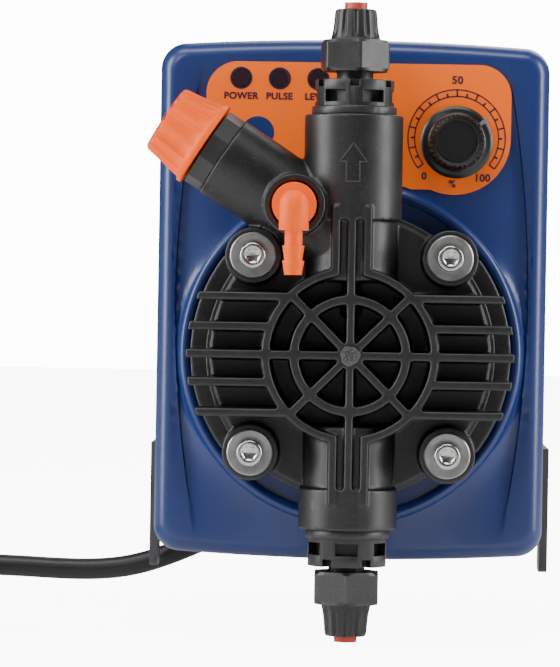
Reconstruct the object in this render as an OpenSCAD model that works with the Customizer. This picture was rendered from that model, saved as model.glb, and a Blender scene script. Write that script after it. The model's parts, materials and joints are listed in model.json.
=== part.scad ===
// Solenoid-driven diaphragm metering pump on a wall bracket, with its mains lead.
// The wall plane is y = 0 and the front faces -Y. X is to the right, Z is up.

/* [Housing] */
// Width of the housing
body_w = 104; // [95:1:120]
// Height of the housing at its middle
body_h = 139; // [130:1:150]
// Corner radius of the housing, seen from the front
corner_r = 7; // [3:1:9]
// How far the top and bottom edges bulge at the middle
arch_rise = 1.5; // [1:0.5:3]
// Wall thickness of both shells
wall = 3; // [2:0.5:4]
// Distance from the wall to the housing's front face
front_depth = 118; // [112:1:125]
// Distance from the wall to the seam between the shells
seam_depth = 62; // [55:1:70]
// Thickness of the housing gasket
gasket_t = 1.6; // [1:0.2:3]

/* [Wall bracket] */
// Thickness of the bracket's plate
plate_t = 3; // [2:0.5:4]
// Horizontal distance between the wall holes
hole_dx = 60; // [50:1:70]
// Vertical distance between the wall holes
hole_dz = 70; // [60:1:80]
// Radius of the wall holes
wall_hole_r = 3; // [2.5:0.25:3.5]
// Thickness of the bracket's side cheeks
cheek_t = 2.3; // [1.5:0.1:3]

/* [Pump head] */
// Height of the head's centre against the housing's centre
hub_z = -14.3; // [-18:0.1:-10]
// Distance from the wall to the head's front plane
head_front = 154; // [150:1:160]
// Radius of the head's round body
head_r = 36.3; // [34:0.1:38]
// Radius of the side fins
wing_r = 42.3; // [40:0.1:43]
// Side of the square of head screws
screw_square = 51; // [48:0.5:54]
// Thickness of the ribs and fins
rib_t = 2.1; // [1.5:0.1:2.5]
// Radius of the valve bosses
boss_r = 12.8; // [12:0.1:14]
// Stroke of the diaphragm
stroke = 1.2; // [0.8:0.1:1.2]

/* [Hose nuts and bleed valve] */
// Width of the hose nuts across flats
nut_af = 16.6; // [14:0.2:18]
// Angle of the bleed arm above the horizontal
arm_angle = 33; // [25:1:40]
// Radius of the bleed arm
arm_r = 11; // [9:0.5:12]

/* [Controls] */
// Height of the dial's centre above the head's centre
dial_z = 56.6; // [55:0.1:60]
// Distance of the dial's centre to the right of the head's centre
dial_x = 27.2; // [24:0.1:30]
// Radius of the knob's skirt
skirt_r = 9.6; // [8:0.1:11]

/* [Mains lead] */
// Diameter of the mains lead
cord_d = 6.2; // [5:0.1:7]

/* [Hidden] */
$fn = 64;
seam = -seam_depth;
face_y = -front_depth;
head_y = -head_front;
back_y = -plate_t;
shell_start = seam - gasket_t;
outline_arc_fn = 720;

// Places of the head's layers along Y
seat_y = face_y + 1;
diaphragm_t = 2;
head_back = seat_y - diaphragm_t;
deck_y = head_y + 14;
screw_deck_y = head_y + 6;
valve_y = head_y + boss_r;
rim_r = 44.2;
rim_half = 1.6;
rim_rise = 2.4;

// Heights of the valve pieces, from the head's centre
top_neck_z = 25.3;
top_boss_z = 35.2;
top_end_z = 62.4;
bottom_neck_z = 24.4;
bottom_boss_z = 34.6;
bottom_end_z = 45.2;

// Bleed arm: distances from the valve axis along the arm
arm_root_z = 29;
arm_end = 40.5;
collar_len = 5;
knob_gap = 0.5;
knob_len = 12.6;
elbow_at = 17.8;

// Controls
led_x = [-30.3, -20.1, -9.8];
led_z = 72.9;
led_r = 2.1;
label_y = face_y;
label_t = 0.8;
shaft_r = 3;

// Drive
can_r = 28;
shaft_rod_r = 4;
plunger_r = 10;

// Height of the screws through the bracket's cheeks
cheek_screw_z = -46.5;

// Rear bay for the cable gland
bay_x = 26;
bay_z = -50;
bay_depth = 34;

// Route of the mains lead from its gland to the coil, chosen by hand
lead_route = [[-6, -16, -60], [-12, -16, -60.3], [-18, -16, -61.4], [-24, -16, -63.3], [-30, -16, -65.8],
    [-36, -16, -68.5], [-42, -16, -71.2], [-48, -16, -73.9], [-54, -16, -76.3], [-60, -16, -78.3],
    [-67, -16, -79.8], [-75, -16, -80.5], [-84, -16, -80.5], [-94, -16, -80.1], [-104, -16, -79.8],
    [-117, -16, -79.7], [-132, -16, -79.7]];

// Coil of the lead, lying on the level of the suction nut's tip
floor_z = -89;
coil_x = -154;
coil_y = -57;
ring_r = 34.6;
ring_pitch = 6.4;

// Route of the last stretch, from the coil to the plug
tail_route = [[-176.5, -96.4, -85.8], [-174, -100, -85.6], [-170, -105, -84.8], [-165, -109.2, -83.2],
    [-159, -112.6, -81], [-153, -114.8, -78.6], [-148, -115.8, -76.9], [-143, -116.2, -75.8]];
plug_x = -143;
plug_y = -116.2;
plug_z = -75.8;
plug_r = 13.2;

// ---- placing helpers -------------------------------------------------

// Draws the children on a plane that faces the front, x right, y up, growing towards the viewer
module on_front(y, z = hub_z) {
    translate([0, y, z]) rotate([90, 0, 0]) children();
}

// Puts the children on the valve axis, with z measured from the head's centre
module on_valve_axis() {
    translate([0, valve_y, hub_z]) children();
}

// Puts the children on the bleed arm's axis, growing outwards from the valve axis
module on_arm() {
    translate([0, valve_y, hub_z + arm_root_z]) rotate([0, arm_angle - 90, 0]) children();
}

// Puts the children on the swivel axis of the drain elbow, growing towards the front
module on_elbow(y) {
    on_front(y) translate([-elbow_at * cos(arm_angle), arm_root_z + elbow_at * sin(arm_angle), 0]) children();
}

// Ring with a true bore
module ring(outer, inner, h) {
    difference() {
        cylinder(r = outer, h = h);
        translate([0, 0, -1]) cylinder(r = inner, h = h + 2);
    }
}

// O-ring lying in its own plane
module o_ring(radius, thickness) {
    rotate_extrude() translate([radius, 0]) circle(d = thickness, $fn = 24);
}

// Tube swept along points by functions, as one closed solid
function unit(v) = v / norm(v);
function heading(p, i) = unit(p[min(i + 1, len(p) - 1)] - p[max(i - 1, 0)]);
function side_of(t) = unit(cross(t, [0, 0.3, 1]));
function ring_points(p, r, n) = [for (i = [0:len(p) - 1]) let (t = heading(p, i), s = side_of(t),
    u = cross(s, t)) for (k = [0:n - 1]) p[i] + r * (cos(360 * k / n) * s + sin(360 * k / n) * u)];
module tube(p, d, sides = 12) {
    last = (len(p) - 1) * sides;
    caps = [[for (k = [0:sides - 1]) k], [for (k = [sides - 1:-1:0]) last + k]];
    walls = [for (i = [0:len(p) - 2]) for (k = [0:sides - 1]) let (a = i * sides + k,
        b = i * sides + (k + 1) % sides) [a, a + sides, b + sides, b]];
    polyhedron(ring_points(p, d / 2, sides), concat(caps, walls), convexity = 6);
}

// ---- housing ---------------------------------------------------------

// Front outline of the housing, smaller all round by inset
module housing_outline(inset = 0) {
    w = body_w - 2 * inset;
    h = body_h - 2 * inset - 2 * arch_rise;
    r = max(corner_r - inset / 2, 1);
    half = w / 2 - r;
    arch_r = (half * half + arch_rise * arch_rise) / (2 * arch_rise);
    square([w, h - 2 * r], center = true);
    square([w - 2 * r, h], center = true);
    for (sx = [-1, 1], sz = [-1, 1]) translate([sx * half, sz * (h / 2 - r)]) circle(r = r);
    for (s = [-1, 1]) intersection() {
        translate([0, s * (h / 2 + arch_rise - arch_r)]) circle(r = arch_r, $fn = outline_arc_fn);
        translate([-half, s > 0 ? 0 : -h]) square([2 * half, h]);
    }
}

// Plate of the outline's shape between two depths, both given as y
module outline_plate(y_from, y_to, inset = 0) {
    on_front(y_from, 0) linear_extrude(y_from - y_to) housing_outline(inset);
}

module head_screw_places() {
    for (sx = [-1, 1], sz = [-1, 1]) translate([sx * screw_square / 2, sz * screw_square / 2, 0]) children();
}

module housing_screw_places() {
    for (sx = [-1, 1], z = [-35, 59]) translate([sx * 44, z, 0]) children();
}

module wall_bracket() {
    cheek_out = 57;
    foot_z = -77.5;
    color("dimgray") difference() {
        union() {
            translate([-39, -plate_t, -44]) cube([78, plate_t, 94]);
            translate([-cheek_out, -plate_t, -56]) cube([2 * cheek_out, plate_t, 14]);
            for (s = [-1, 1]) translate([s * (cheek_out - cheek_t / 2), 0, 0]) {
                translate([-cheek_t / 2, -40, -56]) cube([cheek_t, 40, 14]);
                translate([-cheek_t / 2, -40, foot_z + 3]) cube([cheek_t, 15, 30]);
                translate([-cheek_t / 2, -37, foot_z]) cube([cheek_t, 9, 4]);
                for (y = [-37, -28]) translate([0, y, foot_z + 3]) rotate([0, 90, 0])
                    cylinder(r = 3, h = cheek_t, center = true);
            }
        }
        for (sx = [-1, 1], sz = [-1, 1]) translate([sx * hole_dx / 2, 1, sz * hole_dz / 2])
            rotate([90, 0, 0]) cylinder(r = wall_hole_r, h = plate_t + 2);
        for (s = [-1, 1]) bracket_screw(s, 0);
    }
}

// Countersunk screw through a cheek into the rear shell, mirrored for the other side
module bracket_screw(s, recess) {
    translate([s * 57, -30, cheek_screw_z]) rotate([0, -90 * s, 0]) difference() {
        union() {
            rotate_extrude() polygon([[0, 0], [4.2, 0], [2, 2.2], [0, 2.2]]);
            translate([0, 0, 2]) cylinder(r = 2, h = 10);
        }
        if (recess > 0) translate([0, 0, -1]) cylinder(r = 1.45, h = 2.6, $fn = 6);
    }
}

module bracket_screws() {
    color("silver") for (s = [-1, 1]) bracket_screw(s, 1);
}

module rear_shell() {
    color("royalblue") difference() {
        union() {
            difference() {
                outline_plate(back_y, seam);
                outline_plate(back_y - wall, seam - 1, wall);
            }
            intersection() {
                translate([-body_w / 2 + 1, -bay_depth - wall, -body_h / 2 + 2])
                    cube([body_w / 2 + bay_x + wall - 1, bay_depth, body_h / 2 + bay_z + wall - 2]);
                outline_plate(back_y, seam);
            }
            on_front(back_y - wall + 0.5, 0) housing_screw_places()
                cylinder(r = 5.2, h = -seam - plate_t - wall + 0.5);
            for (s = [-1, 1]) translate([s * 54.7, -30, cheek_screw_z]) rotate([0, -90 * s, 0])
                cylinder(r = 6, h = 11);
        }
        translate([-body_w / 2 - 5, -bay_depth, -body_h / 2 - 1])
            cube([body_w / 2 + 5 + bay_x, bay_depth + 1, body_h / 2 + 1 + bay_z]);
        on_front(back_y + 1, 0) housing_screw_places() cylinder(r = 2, h = front_depth);
        on_front(back_y + 1, 0) housing_screw_places() cylinder(r = 4, h = 4.5);
        for (s = [-1, 1]) translate([s * 58, -30, cheek_screw_z]) rotate([0, -90 * s, 0]) cylinder(r = 2, h = 13);
        translate([bay_x - 1, -16, -60]) rotate([0, 90, 0]) cylinder(r = 6, h = wall + 2);
        translate([bay_x + wall, -16, -60]) rotate([0, 90, 0]) cylinder(r = 8.1, h = 3);
        translate([20, -48, -body_h / 2 - 1]) cylinder(r = 6, h = 6);
    }
}

module housing_gasket() {
    color("black") difference() {
        outline_plate(seam, shell_start, 0.6);
        outline_plate(seam + 1, shell_start - 1, wall);
        on_front(seam + 1, 0) housing_screw_places() cylinder(r = 2, h = 5);
    }
}

module front_shell() {
    color("royalblue") difference() {
        union() {
            difference() {
                union() {
                    outline_plate(shell_start, face_y + 14);
                    hull() {
                        outline_plate(face_y + 14.1, face_y + 14);
                        outline_plate(face_y + 6, face_y + 5.5, 1.6);
                        outline_plate(face_y + 1, face_y, 5);
                    }
                }
                outline_plate(shell_start + 1, face_y + 10, wall);
                outline_plate(face_y + 10.1, face_y + wall + 1, 8);
            }
            on_front(face_y + 0.5) ring(rim_r + rim_half, rim_r - rim_half, rim_rise + 0.5);
            on_front(shell_start, 0) housing_screw_places() cylinder(r = 5.2, h = 50);
            on_front(-100) ring(36, 27, 16);
            on_front(-100) head_screw_places() cylinder(r = 5.5, h = 16);
        }
        on_front(shell_start + 1, 0) housing_screw_places() cylinder(r = 2, h = 30);
        on_front(-99) head_screw_places() cylinder(r = 2, h = 30);
        on_front(seat_y) cylinder(r = rim_r - rim_half - 0.6, h = 5);
        on_front(-99) cylinder(r = 27, h = 30);
        on_front(-99) translate([dial_x, dial_z, 0]) cylinder(r = 4.1, h = 30);
        on_front(-99) for (x = led_x) translate([x, led_z, 0]) cylinder(r = led_r + 0.3, h = 30);
    }
}

module housing_screws() {
    color("silver") on_front(back_y - 0.3, 0) housing_screw_places() difference() {
        union() {
            cylinder(r = 3.5, h = 3.2);
            cylinder(r = 2, h = 80);
        }
        translate([0, 0, -1]) cylinder(r = 1.45, h = 3, $fn = 6);
    }
}

// ---- controls --------------------------------------------------------

// Label outline, from the head's centre: a band with a lobe at each end, above the head's rim
module label_outline() {
    top = 77.3;
    corner = 8.5;
    left = -39.5;
    right = 41.6;
    pad_r = 15;
    pad_x = right - pad_r;
    pad_z = 57.7;
    difference() {
        union() {
            translate([pad_x, pad_z]) circle(r = pad_r);
            translate([-25.7, 58.4]) circle(r = 13.8);
            translate([-31, 44]) square([62, 25]);
            translate([left + corner, 69]) square([right - left - 2 * corner, top - 69]);
            translate([left, 58.4]) square([right - left, 10.9]);
            for (x = [left + corner, right - corner]) translate([x, top - corner]) circle(r = corner);
        }
        circle(r = rim_r + 2.4);
        translate([dial_x + 2, 20]) square([30, 22.1]);
        difference() {
            translate([dial_x + 4, 40]) square([30, pad_z - 40]);
            translate([pad_x, pad_z]) circle(r = pad_r);
        }
        difference() {
            translate([-60, 30]) square([34.3, 28.4]);
            translate([-25.7, 58.4]) circle(r = 13.8);
        }
    }
}

module control_label() {
    color("darkorange") on_front(label_y) difference() {
        linear_extrude(label_t) label_outline();
        translate([dial_x, dial_z, -1]) cylinder(r = 4.1, h = 5);
        for (x = led_x) translate([x, led_z, -1]) cylinder(r = led_r + 0.3, h = 5);
    }
}

module led_lenses() {
    color("maroon") on_front(face_y + wall + 1.5) for (x = led_x) translate([x, led_z, 0]) {
        cylinder(r = led_r, h = wall + 1.5 + label_t + 0.4);
        translate([0, 0, -3]) cylinder(r = led_r - 0.6, h = 3.5);
    }
}

module circuit_board() {
    board_y = -101;
    color("green") {
        on_front(board_y) difference() {
            translate([-38, 46, 0]) cube([76, 31, 1.6]);
            translate([dial_x, dial_z, -1]) cylinder(r = 2, h = 4);
        }
        on_front(board_y + 8) translate([-30, 50, 0]) cube([22, 16, 8]);
        on_front(board_y + 5) translate([0, 52, 0]) cube([12, 12, 5]);
        on_front(board_y - 1.6) for (x = led_x) translate([x - 2, led_z - 2, 0]) cube([4, 4, 7.9]);
    }
}

module potentiometer() {
    color("gray") on_front(-102.6) translate([dial_x, dial_z, 0]) difference() {
        union() {
            cylinder(r = 8.5, h = 8);
            cylinder(r = 4.1, h = 17.2);
        }
        translate([0, 0, 2]) cylinder(r = shaft_r + 0.06, h = 20);
    }
}

module dial_shaft() {
    color("silver") on_front(-105.2) translate([dial_x, dial_z, 0]) cylinder(r = shaft_r, h = 20);
}

module dial_knob() {
    knurls = 30;
    color("black") on_front(face_y - label_t - 1.4) translate([dial_x, dial_z, 0]) difference() {
        union() {
            cylinder(r = skirt_r, h = 1.6);
            cylinder(r = 7.1, h = 9.5);
            for (i = [0:knurls - 1]) rotate(i * 360 / knurls) translate([7, 0, 0])
                cylinder(r = 0.45, h = 9, $fn = 16);
            cylinder(r = 5.7, h = 10.6);
        }
        translate([0, 0, -1]) cylinder(r = shaft_r, h = 6);
    }
}

module dial_pointer() {
    color("gray") on_front(face_y - label_t - 3.0) translate([dial_x, dial_z, 0]) rotate(90 - 52)
        translate([7.7, -0.5, 0]) cube([2.9, 1, 0.5]);
}

module level_socket() {
    color("black") translate([20, -48, 0]) {
        difference() {
            union() {
                translate([0, 0, -73]) cylinder(r = 5.9, h = 12);
                translate([0, 0, -71.8]) cylinder(r = 8, h = 2.2);
            }
            translate([0, 0, -74]) cylinder(r = 4.4, h = 7);
        }
        for (a = [45:90:315]) rotate(a) translate([2, 0, -71.5]) cylinder(r = 0.5, h = 6, $fn = 16);
    }
}

// ---- mains lead ------------------------------------------------------

module cable_gland() {
    color("black") translate([bay_x, -16, -60]) rotate([0, -90, 0]) difference() {
        union() {
            translate([0, 0, -8]) cylinder(r = 5, h = 8);
            translate([0, 0, -5.5]) cylinder(r = 8, h = 2.5);
            translate([0, 0, -wall]) cylinder(r = 6, h = wall + 0.5);
            cylinder(r = 8.6, h = 6, $fn = 6);
            cylinder(r = 6.6, h = 9);
        }
        translate([0, 0, -9]) cylinder(r = cord_d / 2, h = 20);
    }
}

module strain_relief() {
    boot = 23;
    color("black") translate([bay_x - 9, -16, -60]) rotate([0, -90, 0]) difference() {
        rotate_extrude() polygon([[0, 0], [5.6, 0], [5.4, 3], [4, boot], [0, boot]]);
        translate([0, 0, -1]) cylinder(r = cord_d / 2, h = boot + 2);
    }
}

module mains_cord() {
    inside = [[bay_x + 6, -16, -60], [bay_x - 4, -16, -60], [8, -16, -60], [0, -16, -60]];
    color("black") tube(concat(inside, lead_route), cord_d);
}

// Outer shape of the whole coil: three rings side by side, in two layers
module cord_coil() {
    inner = ring_r - ring_pitch - cord_d / 2;
    outer = ring_r + ring_pitch + cord_d / 2;
    color("black") translate([coil_x, coil_y, floor_z]) rotate_extrude()
        translate([inner, 0]) square([outer - inner, 2 * cord_d]);
}

module cord_tail() {
    color("black") tube(tail_route, cord_d);
}

// Tie strap round the coil's section, on its left side
module coil_tie() {
    gap = 0.1;
    t = 0.6;
    half = ring_pitch + cord_d / 2 + gap;
    color("dimgray") translate([coil_x - ring_r, coil_y, floor_z + cord_d]) rotate([90, 0, 0])
        translate([0, 0, -2]) difference() {
            translate([-half - t, -cord_d - gap - t, 0]) cube([2 * (half + t), 2 * (cord_d + gap + t), 4]);
            translate([-half, -cord_d - gap, -1]) cube([2 * half, 2 * (cord_d + gap), 6]);
        }
}

module mains_plug() {
    color("black") translate([plug_x, plug_y, plug_z]) rotate([0, 90, 0]) difference() {
        rotate_extrude() polygon([[0, 0], [4.2, 0], [5.6, 8], [9.5, 13], [plug_r, 16], [plug_r, 26],
            [0, 26]]);
        for (s = [-1, 1]) translate([0, s * 9.5, 14]) cylinder(r = 2.4, h = 20);
    }
}

module plug_pins() {
    color("silver") translate([plug_x + 14, plug_y, plug_z]) rotate([0, 90, 0])
        for (s = [-1, 1]) translate([0, s * 9.5, 0]) {
            cylinder(r = 2.4, h = 28.6);
            translate([0, 0, 28.6]) sphere(r = 2.4);
        }
}

// ---- solenoid drive --------------------------------------------------

module solenoid_can() {
    color("silver") on_front(-16) difference() {
        cylinder(r = can_r, h = 80);
        translate([0, 0, 4]) cylinder(r = can_r - 3, h = 80);
        translate([0, 0, -1]) cylinder(r = 5, h = 10);
    }
}

module solenoid_coil() {
    color("saddlebrown") on_front(-21) ring(24.8, 12.4, 74);
}

module fixed_core() {
    color("silver") on_front(-20) {
        cylinder(r = plunger_r, h = 30);
        translate([0, 0, -3]) cylinder(r = 5, h = 3.1);
    }
}

module guide_bush() {
    color("goldenrod") on_front(-21) ring(12.2, plunger_r + 0.06, 74);
}

module front_flange() {
    color("silver") on_front(-96) difference() {
        cylinder(r = 26.8, h = 8);
        translate([0, 0, -1]) cylinder(r = plunger_r, h = 6);
        cylinder(r = shaft_rod_r + 0.06, h = 10);
    }
}

module plunger() {
    color("silver") on_front(-52) cylinder(r = plunger_r, h = 41);
}

module plunger_shaft() {
    color("silver") on_front(-93) cylinder(r = shaft_rod_r, h = 22);
}

// Return spring, as the outer shape of its turns, between the plunger and the flange
module return_spring() {
    color("silver") on_front(-93) ring(8.6, 5.4, 8 - 0.2);
}

module diaphragm() {
    color("white") on_front(seat_y) difference() {
        cylinder(r = 33, h = diaphragm_t);
        translate([0, 0, -1]) cylinder(r = 16.4, h = 5);
    }
}

module diaphragm_core() {
    color("black") on_front(-113) difference() {
        union() {
            cylinder(r = 7, h = 4.5);
            translate([0, 0, 4.3]) cylinder(r = 16, h = 1.4);
        }
        translate([0, 0, -1]) cylinder(r = shaft_rod_r, h = 3);
    }
}

// ---- pump head -------------------------------------------------------

// Flat bar of rib height, from the head's centre plane drawing
module rib_bar(w, h, depth = 14) {
    translate([-w / 2, -h / 2, 0]) cube([w, h, depth]);
}

// Fins on both sides, clipped to the wing circle and kept clear of the outer ring
module fins() {
    depth = 14;
    intersection() {
        translate([0, 0, -3]) cylinder(r = wing_r, h = depth + 3);
        difference() {
            for (z = [-15, -7.2, 0, 7.2, 15]) translate([0, z, -3 + (depth + 3) / 2])
                cube([90, rib_t, depth + 3], center = true);
            translate([0, 0, -4]) cylinder(r = 21.8, h = depth + 5);
            translate([-4.1, -50, -4]) cube([8.2, 100, 20]);
        }
    }
}

// Base flange under the fins: a wide disc that reaches only as far up and down as the screws
module wing_base() {
    intersection() {
        cylinder(r = rim_r - rim_half - 0.3, h = 9);
        translate([-50, -screw_square / 2, -1]) cube([100, screw_square, 12]);
    }
}

module rib_wheel() {
    depth = 14;
    ring(15.6, 13.3, depth);
    difference() {
        ring(22.8, 20.8, depth);
        translate([-4.1, -30, -1]) cube([8.2, 60, depth + 2]);
    }
    for (a = [0:45:135]) rotate(a) rib_bar(2 * (a == 90 ? 38.2 : 21.4), rib_t);
    cylinder(r = 3, h = depth);
    for (s = [-1, 1]) translate([s * 4.1, 0, 0]) {
        translate([-rib_t / 2, 20.6, 0]) cube([rib_t, 18, depth]);
        translate([-rib_t / 2, -38.6, 0]) cube([rib_t, 18, depth]);
    }
}

module bleed_arm_solid() {
    on_arm() cylinder(r = arm_r, h = arm_end);
    on_elbow(valve_y) cylinder(r = 8, h = arm_r + 2.1);
}

module valve_bosses() {
    on_valve_axis() {
        translate([0, 0, top_neck_z - 6]) cylinder(r = 11.7, h = top_boss_z - top_neck_z + 7);
        translate([0, 0, top_boss_z]) cylinder(r = boss_r, h = top_end_z - top_boss_z);
        translate([0, 0, -bottom_boss_z - 1]) cylinder(r = 11.5, h = bottom_boss_z - bottom_neck_z + 7);
        translate([0, 0, -bottom_end_z]) cylinder(r = boss_r, h = bottom_end_z - bottom_boss_z);
    }
}

module pump_head() {
    color("dimgray") difference() {
        union() {
            on_front(head_back) cylinder(r = head_r, h = head_back - deck_y);
            on_front(-130) ring(head_r + 1.6, head_r - 2, 5);
            on_front(deck_y) {
                rib_wheel();
                fins();
            }
            on_front(head_back) wing_base();
            on_front(face_y - rim_rise - 0.8) head_screw_places()
                cylinder(r = 7.3, h = face_y - rim_rise - 0.8 - screw_deck_y);
            valve_bosses();
            bleed_arm_solid();
        }
        on_front(head_back + 1) cylinder(r = 17, h = 5);
        on_front(head_back + 1) head_screw_places() cylinder(r = 2.25, h = 60);
        on_front(head_back + 2) translate([0, -14, 0]) cylinder(r = 2.5, h = head_back - valve_y + 4);
        on_front(head_back + 2) translate([0, 12, 0]) cylinder(r = 2.5, h = head_back - valve_y + 4);
        on_valve_axis() {
            translate([0, 0, 12]) cylinder(r = 2.5, h = 40);
            translate([0, 0, 47]) cylinder(r = 8.5, h = 20);
            translate([0, 0, -32]) cylinder(r = 2.5, h = 18);
            translate([0, 0, -50]) cylinder(r = 8.5, h = 18);
        }
        on_arm() {
            cylinder(r = 2, h = 60);
            translate([0, 0, 24]) cylinder(r = 6.06, h = 30);
        }
        on_elbow(valve_y) {
            cylinder(r = 1.5, h = 20);
            translate([0, 0, arm_r - 5]) cylinder(r = 4.06, h = 10);
            translate([0, 0, arm_r]) cylinder(r = 6.2, h = 5);
        }
    }
}

module head_washers() {
    color("silver") on_front(screw_deck_y) head_screw_places() ring(6, 2.25, 1);
}

module head_screws() {
    color("silver") on_front(screw_deck_y - 1) head_screw_places() difference() {
        union() {
            cylinder(r = 3.4, h = 4);
            translate([0, 0, -46]) cylinder(r = 2, h = 46);
        }
        translate([0, 0, 1.6]) cylinder(r = 1.75, h = 4, $fn = 6);
    }
}

// ---- valves, drawn upwards on the valve axis; the suction side is flipped by its own offsets ----

// Cartridge: stem in the boss, flange ring, crown with windows, threaded spigot
module valve_body(end_z, ring_h, crown_h, thread_z, spigot_top) {
    crown_z = end_z + ring_h;
    difference() {
        union() {
            translate([0, 0, end_z - 13]) cylinder(r = 8.4, h = 13.2);
            translate([0, 0, end_z]) cylinder(r = 11.05, h = ring_h);
            translate([0, 0, crown_z - 0.1]) cylinder(r = 10.3, h = crown_h);
            translate([0, 0, end_z]) cylinder(r = 4.75, h = spigot_top - end_z);
        }
        translate([0, 0, end_z - 14]) cylinder(r = 4.2, h = 12);
        translate([0, 0, end_z - 14]) cylinder(r = 5.6, h = 4);
        translate([0, 0, end_z - 5]) cylinder(r = 2, h = 60);
        for (a = [0:60:300]) rotate(a + 30) translate([7.3, -2.9, crown_z + 1.2])
            cube([4, 5.8, crown_h * 0.42]);
        for (a = [0:60:300]) rotate(a) translate([7.9, -1.3, crown_z + crown_h * 0.72]) cube([4, 2.6, 5]);
        translate([0, 0, end_z - 7]) rotate_extrude() translate([8.4, 0]) square([1.4, 1.8], center = true);
    }
}

module valve_seat(end_z) {
    translate([0, 0, end_z - 13]) ring(5.6, 2, 2.6);
}

module hose_nut(low, hex_h, cone_h) {
    hex_r = nut_af / sqrt(3);
    flutes = 12;
    difference() {
        union() {
            intersection() {
                translate([0, 0, low]) rotate(30) cylinder(r = hex_r, h = hex_h, $fn = 6);
                translate([0, 0, low]) rotate_extrude() polygon([[0, 0], [hex_r - 0.7, 0], [hex_r, 0.8],
                    [hex_r, hex_h - 0.8], [hex_r - 0.7, hex_h], [0, hex_h]]);
            }
            translate([0, 0, low + hex_h - 0.1]) cylinder(r1 = 6.45, r2 = 5.4, h = cone_h + 0.1);
        }
        translate([0, 0, low - 1]) cylinder(r = 4.83, h = hex_h);
        translate([0, 0, low - 1]) cylinder(r = 3.06, h = hex_h + cone_h + 3);
        for (a = [0:360 / flutes:359]) rotate(a + 15) translate([6.9, 0, low + hex_h + 1.5])
            cylinder(r = 0.8, h = cone_h, $fn = 16);
    }
}

module hose_plug(low, top) {
    translate([0, 0, low]) cylinder(r = 3, h = top - low);
    translate([0, 0, low]) cylinder(r = 4.4, h = 1.2);
}

module flipped() {
    on_valve_axis() mirror([0, 0, 1]) children();
}

module discharge_valve_body() {
    color("black") on_valve_axis() rotate(30) valve_body(top_end_z, 2.1, 7.1, 71.6, 78);
}

module suction_valve_body() {
    color("black") flipped() valve_body(bottom_end_z, 2.2, 7.5, 54.9, 61);
}

module discharge_seat() {
    color("white") on_valve_axis() valve_seat(top_end_z);
}

// The suction seat lies below its ball, at the outer end of the chamber
module suction_seat() {
    color("white") flipped() translate([0, 0, bottom_end_z - 4.4]) ring(4.2, 2, 2.4);
}

module discharge_ball() {
    color("firebrick") on_valve_axis() translate([0, 0, top_end_z - 7.0]) sphere(r = 3);
}

module suction_ball() {
    color("firebrick") flipped() translate([0, 0, bottom_end_z - 7.7]) sphere(r = 3);
}

module discharge_o_rings() {
    color("black") on_valve_axis() translate([0, 0, top_end_z - 7]) o_ring(8.1, 0.7);
}

module suction_o_rings() {
    color("black") flipped() translate([0, 0, bottom_end_z - 7]) o_ring(8.1, 0.7);
}

module discharge_nut() {
    color("black") on_valve_axis() hose_nut(73.7, 8.1, 8.1);
}

module suction_nut() {
    color("black") flipped() rotate(30) hose_nut(56.2, 8.6, 8.3);
}

module discharge_plug() {
    color("tomato") on_valve_axis() hose_plug(78.4, 91.7);
}

module suction_plug() {
    color("tomato") flipped() hose_plug(61.4, 74.7);
}

// ---- bleed valve -----------------------------------------------------

module bleed_collar() {
    color("black") on_arm() translate([0, 0, arm_end]) difference() {
        union() {
            cylinder(r = 10.8, h = collar_len, $fn = 10);
            translate([0, 0, -8]) cylinder(r = 6, h = 9);
        }
        translate([0, 0, -9]) cylinder(r = 3.06, h = 20);
    }
}

module bleed_stem() {
    color("orange") on_arm() {
        translate([0, 0, 26]) cylinder(r = 3, h = arm_end + collar_len + knob_gap + 8.5 - 26);
        translate([0, 0, 25]) cylinder(r1 = 1.2, r2 = 3, h = 1.8);
    }
}

module bleed_o_ring() {
    color("black") on_arm() translate([0, 0, arm_end - 10]) difference() {
        cylinder(r = 5.6, h = 1.6);
        translate([0, 0, -1]) cylinder(r = 3.06, h = 4);
    }
}

module bleed_knob() {
    start = arm_end + collar_len + knob_gap;
    flutes = 16;
    color("darkorange") on_arm() translate([0, 0, start]) difference() {
        union() {
            cylinder(r = 11.7, h = 1.5);
            translate([0, 0, 1.4]) cylinder(r1 = 11.2, r2 = 9.5, h = knob_len - 1.4);
        }
        for (a = [0:360 / flutes:359]) rotate(a) translate([11.9, 0, 1.5])
            cylinder(r = 1.3, h = knob_len, $fn = 16);
        translate([0, 0, -1]) cylinder(r = 3.06, h = 10);
    }
}

// Swivel elbow of the bleed outlet: disc on the arm's front, hose barb pointing down
module drain_elbow() {
    pipe_z = 6;
    color("darkorange") on_elbow(valve_y - arm_r - 0.3) difference() {
        union() {
            translate([0, 0, -4]) cylinder(r = 4, h = 5);
            cylinder(r = 5.7, h = pipe_z + 1.2);
            translate([0, 0, pipe_z]) sphere(r = 3.85);
            translate([0, 0, pipe_z]) rotate([90, 0, 0]) {
                cylinder(r = 3.85, h = 6.7);
                cylinder(r = 2.3, h = 18.1);
                translate([0, 0, 10.6]) cylinder(r1 = 2.85, r2 = 2.3, h = 3.6);
                translate([0, 0, 14.4]) cylinder(r1 = 2.85, r2 = 2.25, h = 3.7);
            }
        }
        translate([0, 0, pipe_z]) rotate([90, 0, 0]) cylinder(r = 1.3, h = 30);
        translate([0, 0, -5]) cylinder(r = 1.3, h = pipe_z + 5);
        translate([0, 0, -3]) ring(5, 3.3, 1.3);
    }
}

module elbow_o_ring() {
    color("black") on_elbow(valve_y - arm_r + 2.65) ring(3.95, 3.3, 1.2);
}

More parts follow.
